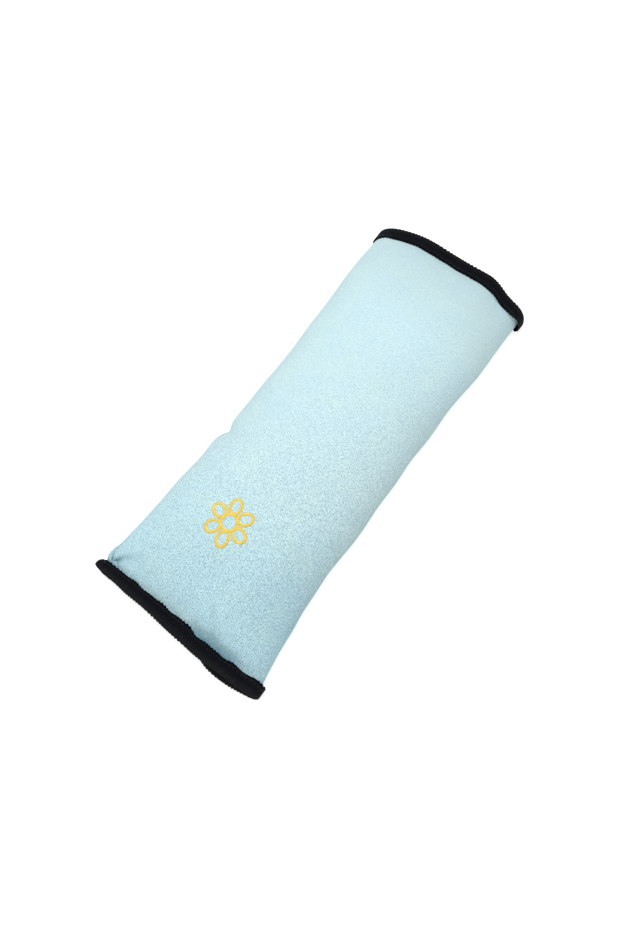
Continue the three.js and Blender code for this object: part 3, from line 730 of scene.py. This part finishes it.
def oval_satin(middle, long, wide, angle):
    """Satin stitches across an oval line: each thread crosses it, and its ends lie 0.35 mm back and ahead."""
    fine = np.linspace(0, 2 * math.pi, 400)
    flat = np.stack([long * np.cos(fine), wide * np.sin(fine)], axis=1)
    reached = run_along(flat)
    count = int(reached[-1] / SATIN_PITCH)
    t = np.interp(np.arange(count) * reached[-1] / count, reached, fine)
    place = np.stack([long * np.cos(t), wide * np.sin(t)], axis=1)
    tangent = unit(np.stack([-long * np.sin(t), wide * np.cos(t)], axis=1))
    out = np.stack([tangent[:, 1], -tangent[:, 0]], axis=1)
    uneven = SATIN / 2 * (1 + 0.10 * np.sin(17.0 * t + angle) * np.sin(41.0 * t))[:, None]
    turn = np.array([[math.cos(angle), math.sin(angle)], [-math.sin(angle), math.cos(angle)]])
    return [(place + sign * (out * uneven + SATIN_SLANT * tangent)) @ turn + middle for sign in (-1, 1)]


def make_flower():
    """Six looped petals round a ring, each line in satin stitch over the front's crown."""
    lines = [oval_satin(np.zeros(2), RING, RING, 0.0)]
    for k in range(PETALS):
        angle = 2 * math.pi * (k + 0.25) / PETALS
        out = REACH - PETAL_LENGTH / 2
        middle = out * np.array([math.cos(angle), math.sin(angle)])
        lines.append(oval_satin(middle, (PETAL_LENGTH - SATIN) / 2, (PETAL_WIDTH - SATIN) / 2, angle))
    inner, outer = (np.concatenate([line[k] for line in lines]) for k in (0, 1))
    (start, up0), (end, up1) = laid_on_front(*inner.T), laid_on_front(*outer.T)
    return threads("embroidered_flower_thread", start, end, unit(up0 + up1), *SATIN_THREAD)


flower_thread = make_flower()


def binding_stitches(name, end, way, path, along, shift):
    """The stitches that close a folded tape, 1.6 mm from its selvedge, one row on each face of the fold."""
    out = np.stack([0 * along[:, 0], along[:, 1], -along[:, 0]], axis=1)
    depth = mix(TIP_DEPTH, end["tape"] - STITCH_INSET, rounded_tip(end, path))
    x = tape_place(way, path, shift, depth[:, None])[:, 0]
    spread = spread_out(way * (LENGTH / 2 - depth), path[:, 0])
    parts = []
    for sign, aside in ((1, corner_reach(end, path)), (-1, spread)):
        line = np.stack([x, path[:, 0] + aside + PLAN_OFFSET[1], path[:, 1]], axis=1)
        line = line + sign * out * (TAPE_THICKNESS / 2 - 0.08)
        parts.append(running_stitch(line, sign * out, STITCH_PITCH, STITCH_LENGTH))
    return threads(name, *joined(parts), *BINDING_THREAD)


near_stitches = binding_stitches("near_binding_stitches", NEAR, -1, *near_line)
far_stitches = binding_stitches("far_binding_stitches", FAR, 1, *far_line)


def flap_stitches(name, side):
    """Rows of stitches on a flap's outer face, 1.5 mm inside the closure tape's outline on its other face."""
    reach, edge = CLOSURE_REACH - CLOSURE_INSET, CLOSURE_WIDTH / 2 - CLOSURE_INSET
    long, short = np.linspace(-reach, reach, 400), np.linspace(-edge, edge, 60)
    rows = [(long, 0 * long + y) for y in (edge, -edge)] + [(0 * short + x, short) for x in (-reach, reach)]
    bound, lying = (TAPE_UPPER, FLAP_LAP) if side > 0 else (TAPE_FLOOR, FLAP_CLOTH / 2)
    parts = []
    for x, y in rows:
        shift = plan_shift(x, y) + flap_shift(side, x, seam_across(side, x, BODY_WIDTH / 2) - side * y)
        face = mix(bound, lying, settled(x)) + side * (FLAP_CLOTH / 2 + 0.02)
        line = np.stack([x + shift + PLAN_OFFSET[0], y + PLAN_OFFSET[1], face], axis=1)
        away = np.tile([0.0, 0.0, float(side)], (len(x), 1))
        parts.append(running_stitch(line, away, CLOSURE_PITCH, CLOSURE_STITCH))
    return threads(name, *joined(parts), *CLOSURE_THREAD)


right_flap_stitches = flap_stitches("right_flap_stitches", -1)
left_flap_stitches = flap_stitches("left_flap_stitches", 1)


# Materials

def linear(*rgb):
    """Linear light from a colour written as 0 to 255 on screen."""
    c = np.array(rgb) / 255.0
    return tuple(np.where(c <= 0.04045, c / 12.92, ((c + 0.055) / 1.055) ** 2.4))


def times(colour, by):
    """A colour made deeper or lighter, by one factor or by one for each channel, and held at 1."""
    return tuple(np.minimum(1.0, np.array(colour) * by))


def node(tree, kind, inputs=None, **settings):
    """A new node with its settings. Each input is joined to an output, or set to a number or a colour."""
    made = tree.nodes.new(kind)
    for key, value in settings.items():
        setattr(made, key, value)
    for key, value in (inputs or {}).items():
        if isinstance(value, bpy.types.NodeSocket):
            tree.links.new(value, made.inputs[key])
        else:
            made.inputs[key].default_value = (*value, 1.0) if isinstance(value, tuple) else value
    return made


def noise(tree, vector, scale, detail=2.0, roughness=0.5, distortion=0.0):
    values = {"Vector": vector, "Scale": scale, "Detail": detail, "Roughness": roughness}
    return node(tree, "ShaderNodeTexNoise", {**values, "Distortion": distortion}).outputs["Fac"]


def cells(tree, vector, scale):
    """Distance from the middle of the nearest of many scattered cells."""
    values = {"Vector": vector, "Scale": scale}
    return node(tree, "ShaderNodeTexVoronoi", values, feature="F1").outputs["Distance"]


def ramp(tree, value, stops):
    """A smooth step of a value, from the first two stops to the last two."""
    values = dict(zip(("From Min", "From Max", "To Min", "To Max"), stops), Value=value)
    return node(tree, "ShaderNodeMapRange", values, interpolation_type="SMOOTHSTEP").outputs["Result"]


def maths(tree, operation, a, b=0.0):
    return node(tree, "ShaderNodeMath", {0: a, 1: b}, operation=operation).outputs[0]


def blend_colour(tree, share, a, b, way="MIX"):
    values = {"Factor": share, "A": a, "B": b}
    return node(tree, "ShaderNodeMix", values, data_type="RGBA", blend_type=way).outputs["Result"]


def multiplied(tree, a, b):
    """The product of two colours, channel by channel."""
    return blend_colour(tree, 1.0, a, b, "MULTIPLY")


def group(name, values, build):
    """A node group with a vector and named values as its inputs, and the outputs that build gives, by
    name."""
    tree = bpy.data.node_groups.new(name, "ShaderNodeTree")

    def socket(key, way, kind="NodeSocketFloat"):
        return tree.interface.new_socket(name=key, in_out=way, socket_type=kind)

    socket("Vector", "INPUT", "NodeSocketVector")
    for key, value in values.items():
        socket(key, "INPUT").default_value = value
    results = build(tree, tree.nodes.new("NodeGroupInput").outputs)
    for key in results:
        socket(key, "OUTPUT")
    out = tree.nodes.new("NodeGroupOutput").inputs
    for key, value in results.items():
        tree.links.new(value, out[key])
    return tree


def short_pile(tree, given):
    """Short pile. Grain runs from 0 in the shade between tufts half a millimetre wide to 1 on their tips,
    and is drawn towards 0.5 where Ruffled is low. Patches are the brushed places, Height the bump."""
    tuft = noise(tree, given["Vector"], given["Tuft Scale"], 3.0, 0.75)
    cell = maths(tree, "MULTIPLY", cells(tree, given["Vector"], given["Tuft Scale"]), 0.35)
    mixed = maths(tree, "SUBTRACT", maths(tree, "ADD", tuft, 0.18), cell)
    centred = maths(tree, "SUBTRACT", ramp(tree, mixed, (0.30, 0.68, 0.0, 1.0)), 0.5)
    return {"Grain": maths(tree, "ADD", maths(tree, "MULTIPLY", centred, given["Ruffled"]), 0.5),
            "Patches": noise(tree, given["Vector"], given["Patch Scale"], 3.0),
            "Height": maths(tree, "MULTIPLY", mixed, given["Ruffled"])}


def ribbed_weave(tree, given):
    """Woven ribs across a tape: a rounded wave along it, broken up by the crossing yarns. Height is the
    bump and Gap the dark line between ribs."""
    split = node(tree, "ShaderNodeSeparateXYZ", {0: given["Vector"]})
    rib, yarn = (maths(tree, "MULTIPLY", maths(tree, "MULTIPLY", split.outputs[axis], given[count]), math.pi)
                 for axis, count in (("X", "Ribs"), ("Y", "Yarns")))
    rib, yarn = (maths(tree, "ABSOLUTE", maths(tree, "SINE", wave)) for wave in (rib, yarn))
    height = maths(tree, "MULTIPLY", rib, maths(tree, "ADD", maths(tree, "MULTIPLY", yarn, 0.35), 0.65))
    return {"Height": height, "Gap": ramp(tree, rib, (0.45, 0.05, 0.0, 1.0))}


def twisted_thread(tree, given):
    """Twisted thread: Tone is a slow change along it, Height a fine slanting wave."""
    values = {"Distortion": 1.5, "Scale": given["Twist"], "Vector": given["Vector"]}
    wave = node(tree, "ShaderNodeTexWave", values, wave_type="BANDS", bands_direction="DIAGONAL")
    return {"Tone": noise(tree, given["Vector"], given["Tone Scale"]), "Height": wave.outputs["Fac"]}


def closure_face(tree, given):
    """Hooks or loops: Cells is low in the middle of each and high between them, Height stands up in the
    middle."""
    cell = cells(tree, given["Vector"], given["Scale"])
    mat = noise(tree, given["Vector"], maths(tree, "MULTIPLY", given["Scale"], 1.6), 3.0, 0.6)
    return {"Cells": ramp(tree, cell, (0.2, 0.7, 0.0, 1.0)), "Height": maths(tree, "SUBTRACT", mat, cell)}


PILE = group("short_pile", {"Tuft Scale": 1500.0, "Patch Scale": 50.0, "Ruffled": 1.0}, short_pile)
RIBS = group("ribbed_weave", {"Ribs": 900.0, "Yarns": 1800.0}, ribbed_weave)
TWIST = group("twisted_thread", {"Twist": 1400.0, "Tone Scale": 700.0}, twisted_thread)
CLOSURE = group("closure_face", {"Scale": 900.0}, closure_face)


def placed(tree, made, vector, **values):
    """A node group in a material, with its vector joined and its own values set."""
    return node(tree, "ShaderNodeGroup", {"Vector": vector, **values}, node_tree=made)


def material(name, colour, roughness, specular=0.5):
    """A material of one colour, with its nodes and its Principled shader."""
    made = bpy.data.materials.new(name)
    made.use_nodes = True
    shader = made.node_tree.nodes["Principled BSDF"]
    shader.inputs["Base Color"].default_value = (*colour, 1.0)
    shader.inputs["Roughness"].default_value = roughness
    shader.inputs["Specular IOR Level"].default_value = specular
    return made, made.node_tree, shader


def dress(tree, shader, base, height, distance, strength):
    """Joins a base colour and a bump to a shader."""
    tree.links.new(base, shader.inputs["Base Color"])
    made = node(tree, "ShaderNodeBump", {"Distance": distance, "Strength": strength, "Height": height})
    tree.links.new(made.outputs["Normal"], shader.inputs["Normal"])


WHITE = (1.0, 1.0, 1.0)


def plush_material(name, colour):
    """Pale short-pile plush: deeper between the tufts, lighter at the tips, with faint cool and warm patches,
    cooler and a little deeper towards the near end, and darker and cooler by painted shade in the tucks,
    creases and folds, beside the near binding and over the near third's right flank. It is brushed smooth
    towards the far end, and ruffled towards the near one."""
    made, tree, shader = material(name, colour, 0.92, 0.12)
    where = node(tree, "ShaderNodeTexCoord").outputs["Object"]
    split = node(tree, "ShaderNodeSeparateXYZ", {0: where})
    aslant = maths(tree, "ADD", split.outputs["X"], maths(tree, "MULTIPLY", split.outputs["Y"], 1.2))
    pile = placed(tree, PILE, where, Ruffled=ramp(tree, aslant, (0.08, -0.15, 0.34, 1.35)))
    # Painted shade, read from the bolster's mask
    painted_shade = node(tree, "ShaderNodeAttribute", attribute_name="painted_shade").outputs["Fac"]
    patches = ramp(tree, pile.outputs["Patches"], (0.36, 0.64, 0.0, 1.0))
    near = ramp(tree, split.outputs["X"], (-0.03, -0.125, 0.0, 1.0))
    base = blend_colour(tree, patches, times(colour, (1.00, 1.00, 0.99)), times(colour, (0.965, 0.98, 1.005)))
    # Multiplied in turn: the grain, a cooler tint towards the near end, and painted shade where the mask is
    # high
    for share, low, high in ((pile.outputs["Grain"], (0.62, 0.71, 0.75), (1.30, 1.22, 1.19)),
                             (near, WHITE, (0.89, 0.98, 1.02)), (painted_shade, WHITE, (0.42, 0.55, 0.60))):
        base = multiplied(tree, base, blend_colour(tree, share, low, high))
    shader.inputs["Sheen Weight"].default_value = 0.10
    shader.inputs["Sheen Roughness"].default_value = 0.6
    dress(tree, shader, base, pile.outputs["Height"], 0.0009, 0.6)
    return made


def tape_material(name, colour):
    """Black ribbed tape: ribs across it, a little dust-grey on their crests, and darker between them. The
    fold's nose, 5 to 10 mm round the tape's outline, is greyer by painted highlight and some rubbing wear,
    and the rest, its flat faces and selvedges, is darker and bluer by painted shade."""
    made, tree, shader = material(name, colour, 0.85, 0.06)
    where = node(tree, "ShaderNodeTexCoord").outputs
    weave = placed(tree, RIBS, where["UV"])
    fluff = noise(tree, where["Object"], 420.0, 4.0, 0.7)
    base = blend_colour(tree, weave.outputs["Gap"], colour, times(colour, 0.4))
    crest = tuple(c * 1.5 + 0.002 for c in colour)
    base = blend_colour(tree, ramp(tree, fluff, (0.52, 0.72, 0.0, 0.8)), base, crest)
    around = node(tree, "ShaderNodeSeparateXYZ", {0: where["UV"]}).outputs["Y"]
    # Painted highlight on the fold's nose, with some rubbing wear, and painted shade, darker and bluer, on
    # the rest of the tape
    nose = maths(tree, "MULTIPLY", ramp(tree, around, (0.0012, 0.0050, 0.0, 1.0)),
                 ramp(tree, around, (0.0100, 0.0125, 1.0, 0.0)))
    base = multiplied(tree, base, blend_colour(tree, nose, (0.62, 0.66, 0.80), (1.75, 1.70, 1.60)))
    height = maths(tree, "ADD", weave.outputs["Height"], maths(tree, "MULTIPLY", fluff, 0.5))
    dress(tree, shader, base, height, 0.0004, 0.9)
    return made


def thread_material(name, colour, specular=0.5):
    """Twisted thread: a fine slanting wave and a change of tone along it."""
    made, tree, shader = material(name, colour, 0.45, specular)
    twist = placed(tree, TWIST, node(tree, "ShaderNodeTexCoord").outputs["Object"])
    share = ramp(tree, twist.outputs["Tone"], (0.35, 0.65, 0.0, 0.6))
    base = blend_colour(tree, share, colour, times(colour, (0.90, 0.80, 0.62)))
    dress(tree, shader, base, twist.outputs["Height"], 0.00008, 0.5)
    return made


def lining_material(name, colour):
    """Thin plain-woven lining: over and under yarns half a millimetre apart, with slubs."""
    made, tree, shader = material(name, colour, 0.75, 0.3)
    where = node(tree, "ShaderNodeTexCoord").outputs
    weave = placed(tree, RIBS, where["UV"], Ribs=1700.0, Yarns=1700.0)
    slub = ramp(tree, noise(tree, where["Object"], 160.0, 4.0, 0.6), (0.5, 0.75, 0.0, 0.5))
    base = blend_colour(tree, weave.outputs["Gap"], colour, times(colour, 0.8))
    base = blend_colour(tree, slub, base, times(colour, 1.08))
    dress(tree, shader, base, weave.outputs["Height"], 0.0002, 0.5)
    return made


def closure_material(name, colour, scale, depth, roughness):
    """Hook tape or loop tape: close rows of small hooks, or a brushed mat of loops, lighter on each crest."""
    made, tree, shader = material(name, colour, roughness)
    face = placed(tree, CLOSURE, node(tree, "ShaderNodeTexCoord").outputs["Object"], Scale=scale)
    base = blend_colour(tree, face.outputs["Cells"], times(colour, 2.2), colour)
    dress(tree, shader, base, face.outputs["Height"], depth, 0.9)
    return made


def wadding_material(name, colour):
    """Loose white fibre: fine stretched noise over soft clumps."""
    made, tree, shader = material(name, colour, 1.0)
    where = node(tree, "ShaderNodeTexCoord").outputs["Object"]
    clump = ramp(tree, noise(tree, where, 60.0, 3.0), (0.4, 0.6, 0.0, 1.0))
    base = blend_colour(tree, clump, colour, times(colour, 0.88))
    dress(tree, shader, base, noise(tree, where, 600.0, 5.0, 0.7, 2.0), 0.0006, 0.6)
    return made


plush = plush_material("pale_blue_plush", linear(200, 228, 232))
lining = lining_material("pale_blue_lining", linear(200, 226, 233))
binding = tape_material("black_ribbed_tape", linear(20, 21, 24))
black_thread = thread_material("black_thread", linear(30, 31, 34), specular=0.2)
blue_thread = thread_material("pale_blue_thread", linear(190, 220, 228), specular=0.3)
yellow_thread = thread_material("yellow_embroidery_thread", linear(240, 214, 96))
hooks = closure_material("nylon_hooks", linear(34, 34, 37), 900.0, 0.0008, 0.45)
loops = closure_material("brushed_loops", linear(38, 38, 42), 1400.0, 0.0006, 0.95)
wadding = wadding_material("white_fibre", linear(244, 244, 240))
for name, finish in (("hook_tape", hooks), ("loop_tape", loops), ("fibre_filling", wadding)):
    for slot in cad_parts[name].material_slots:
        slot.material = finish


# What each piece is made of and stands for

for piece, look, finish, stands_for in (
        (bolster, plush, "plush", ["front_panel"]), (lining_cloth, lining, "lining", ["back_lining"]),
        (left_flap, plush, "plush", ["inner_belt_flap"]), (right_flap, plush, "plush", ["outer_belt_flap"]),
        (near_tape, binding, "binding", ["near_end_binding"]),
        (far_tape, binding, "binding", ["far_end_binding"]),
        (near_stitches, black_thread, "binding", []), (far_stitches, black_thread, "binding", []),
        (left_flap_stitches, blue_thread, "lining", []), (right_flap_stitches, blue_thread, "lining", []),
        (flower_thread, yellow_thread, "embroidery_thread", ["embroidered_flower"])):
    piece.data.materials.append(look)
    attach(piece, "root")
    if stands_for:
        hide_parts(*stands_for)


# The floor, the lamps and the camera

FLOOR_GLOW, SKY_SEEN, SKY_LIGHT = 0.55, 1.0, 0.55
LAMP_AIM = (0, 0, 0.03)
AZIMUTH, ELEVATION, DISTANCE = -53.16, 73.0, 1200.0
PIXELS_PER_MM, FRAME_HEIGHT, SENSOR = 1.72, 930, 36.0
AIM_HEIGHT, AIM_LEFT, AIM_DOWN = 30.0, 15.54, 22.22


def make_floor():
    """A wide pale floor that reads white where nothing shades it, and keeps the pad's shadow."""
    bpy.ops.mesh.primitive_plane_add(size=6.0, location=(0, 0, 0))
    floor = bpy.context.object
    floor.name = "floor"
    made, tree, shader = material("pale_floor", (0.82, 0.82, 0.81), 0.9, 0.1)
    rays = node(tree, "ShaderNodeLightPath").outputs
    seen = maths(tree, "ADD", rays["Is Camera Ray"], rays["Is Glossy Ray"])
    seen = maths(tree, "MINIMUM", maths(tree, "ADD", seen, rays["Is Transmission Ray"]), 1.0)
    glow = node(tree, "ShaderNodeEmission",
                {"Color": (1.0, 1.0, 0.99), "Strength": maths(tree, "MULTIPLY", seen, FLOOR_GLOW)})
    both = node(tree, "ShaderNodeAddShader", {0: shader.outputs[0], 1: glow.outputs[0]})
    tree.links.new(both.outputs[0], tree.nodes["Material Output"].inputs["Surface"])
    floor.data.materials.append(made)


def make_sky():
    """White where the camera or a gloss sees it, and about half as strong as a light."""
    world = bpy.data.worlds.new("studio")
    bpy.context.scene.world = world
    world.use_nodes = True
    tree = world.node_tree
    background = tree.nodes["Background"].inputs
    background["Color"].default_value = (1, 1, 1, 1)
    rays = node(tree, "ShaderNodeLightPath").outputs
    seen = maths(tree, "MAXIMUM", rays["Is Camera Ray"], rays["Is Glossy Ray"])
    seen = maths(tree, "MULTIPLY", seen, SKY_SEEN - SKY_LIGHT)
    tree.links.new(maths(tree, "ADD", seen, SKY_LIGHT), background["Strength"])


def make_lamp(name, place, size, power):
    """A square soft lamp that looks at the pad."""
    lamp = bpy.data.objects.new(name, bpy.data.lights.new(name, "AREA"))
    lamp.data.size = size
    lamp.data.energy = power
    lamp.location = place
    lamp.rotation_euler = (Vector(LAMP_AIM) - Vector(place)).to_track_quat("-Z", "Y").to_euler()
    bpy.context.scene.collection.objects.link(lamp)


def make_camera():
    """Azimuth 0 looks along +Y, and elevation is above the horizon. The camera looks left of the pad's
    middle and below it, by pixels of the photograph's frame, as the pad lies in it. The sensor is as high
    as the frame."""
    a, e = math.radians(AZIMUTH), math.radians(ELEVATION)
    right = np.array([math.cos(a), math.sin(a), 0.0])
    up = np.array([-math.sin(a) * math.sin(e), math.cos(a) * math.sin(e), math.cos(e)])
    back = np.cross(right, up)
    aim = np.array([*PLAN_OFFSET, AIM_HEIGHT]) - (right * AIM_LEFT + up * AIM_DOWN) / PIXELS_PER_MM
    camera = bpy.data.objects.new("camera", bpy.data.cameras.new("camera"))
    camera.data.sensor_width = SENSOR
    camera.data.lens = PIXELS_PER_MM * DISTANCE / FRAME_HEIGHT * SENSOR
    camera.location = (aim + back * DISTANCE) * MM
    camera.rotation_euler = Vector(-back).to_track_quat("-Z", "Y").to_euler()
    bpy.context.scene.collection.objects.link(camera)
    bpy.context.scene.camera = camera


make_floor()
make_lamp("broad_key", (0.15, 0.5, 1.8), 1.3, 20.5)
make_lamp("soft_fill", (-1.0, -0.9, 1.6), 1.6, 8.0)
make_sky()
make_camera()
bpy.context.scene.view_settings.view_transform = "Standard"
